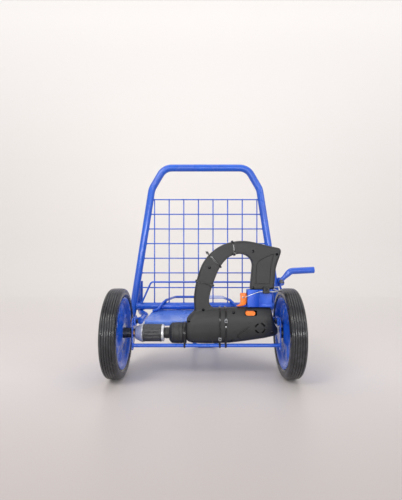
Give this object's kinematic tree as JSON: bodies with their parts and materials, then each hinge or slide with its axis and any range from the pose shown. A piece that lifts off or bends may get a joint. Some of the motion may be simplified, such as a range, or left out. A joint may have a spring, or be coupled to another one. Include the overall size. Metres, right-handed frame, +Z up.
{
  "type": "wheeled cart with drill drive",
  "caption": "Two-wheeled wire-panel barrow cart with a bent tube handle loop, sloped tray, side hand lever and a strapped-on drill that drives one wheel.",
  "frame": {"origin": "on the ground under the middle of the cart's bounding box", "axes": "+X to the right seen from the drill's side, +Y to the rear towards the handle and stand, +Z up"},
  "size_m": [0.6536, 0.4738, 0.6606],
  "materials": {
    "blue_gloss_paint": "gloss",
    "tyre_rubber": "matte",
    "dark_steel": "satin",
    "plated_steel": "gloss",
    "brass": "satin",
    "charcoal_plastic": "matte",
    "black_plastic": "matte",
    "orange_plastic": "gloss",
    "chuck_rubber": "satin",
    "blue_plastic": "gloss",
    "tie_nylon": "gloss",
    "cable_sheath": "satin"
  },
  "bodies": {
    "frame": {"left_axle_bush": "brass", "right_wheel_nut": "plated_steel", "right_stub_axle": "dark_steel", "handle_loop": "blue_gloss_paint", "rear_cross_tube": "blue_gloss_paint", "left_base_rail": "blue_gloss_paint", "right_base_rail": "blue_gloss_paint", "left_axle_plate": "blue_gloss_paint", "right_axle_plate": "blue_gloss_paint", "left_rail_bolt": "dark_steel", "left_rail_nut": "brass", "right_rail_bolt": "dark_steel", "right_rail_nut": "dark_steel", "mesh_panel": "blue_gloss_paint", "tray_plate": "blue_gloss_paint", "carrier_rod": "blue_gloss_paint", "tank_guard_rod": "blue_gloss_paint", "lower_bar": "blue_gloss_paint", "rear_stand": "blue_gloss_paint", "drill_housing_front": "charcoal_plastic", "drill_housing_back": "charcoal_plastic", "drill_gearbox": "black_plastic", "drill_motor": "dark_steel", "battery_pack": "black_plastic", "switch_block": "blue_plastic", "trigger_switch": "black_plastic", "collar_tie": "tie_nylon", "left_body_tie": "tie_nylon", "right_body_tie": "tie_nylon", "handle_tie_low": "tie_nylon", "handle_tie_mid": "tie_nylon", "handle_tie_top": "tie_nylon", "cable_guide": "black_plastic", "cable_outer": "cable_sheath", "lever_bracket": "blue_gloss_paint", "lever_pivot_bolt": "dark_steel", "lever_pivot_nut": "dark_steel", "lever_stop_pin": "dark_steel"},
    "drive_wheel": {"left_tyre": "tyre_rubber", "left_disc_left": "blue_gloss_paint", "left_disc_right": "blue_gloss_paint", "left_hub": "dark_steel", "left_wheel_nut": "plated_steel", "drive_shaft": "plated_steel", "chuck_body": "plated_steel", "chuck_jaw_1": "dark_steel", "chuck_jaw_2": "dark_steel", "chuck_jaw_3": "dark_steel", "output_spindle": "plated_steel"},
    "chuck_sleeve": {"chuck_sleeve": "chuck_rubber"},
    "idler_wheel": {"right_tyre": "tyre_rubber", "right_disc_left": "blue_gloss_paint", "right_disc_right": "blue_gloss_paint", "right_hub": "dark_steel"},
    "torque_collar": {"torque_collar": "charcoal_plastic"},
    "lever": {"side_lever": "blue_gloss_paint"},
    "trigger": {"trigger": "orange_plastic", "inner_wire_front": "plated_steel", "inner_wire_rear": "plated_steel"},
    "direction_slider": {"direction_slider": "orange_plastic"}
  },
  "joints": [
    {"name": "drive_wheel_spin", "type": "hinge", "parent": "frame", "child": "drive_wheel", "pos_m": [-0.29378, -0.10994, 0.127], "axis": [1, 0, 0], "continuous": true},
    {"name": "chuck_sleeve_turn", "type": "hinge", "parent": "drive_wheel", "child": "chuck_sleeve", "pos_m": [-0.19278, -0.10994, 0.127], "axis": [1, 0, 0], "range_deg": [0, 300]},
    {"name": "idler_wheel_spin", "type": "hinge", "parent": "frame", "child": "idler_wheel", "pos_m": [0.19522, -0.10994, 0.127], "axis": [1, 0, 0], "continuous": true},
    {"name": "torque_collar_turn", "type": "hinge", "parent": "frame", "child": "torque_collar", "pos_m": [-0.12578, -0.10994, 0.127], "axis": [1, 0, 0], "range_deg": [0, 270]},
    {"name": "lever_lift", "type": "hinge", "parent": "frame", "child": "lever", "pos_m": [0.21322, 0.07706, 0.263], "axis": [0, -1, 0], "range_deg": [0, 20]},
    {"name": "trigger_pull", "type": "slide", "parent": "frame", "child": "trigger", "axis": [1, 0, 0], "range_m": [0, 0.0067], "stiffness_N_per_m": 300},
    {"name": "direction_switch", "type": "slide", "parent": "frame", "child": "direction_slider", "axis": [1, 0, 0], "range_m": [0, 0.005]}
  ],
  "couplings": [
    {"joint": "trigger_pull", "follows": "lever_lift", "m_per_rad": 0.0191}
  ]
}
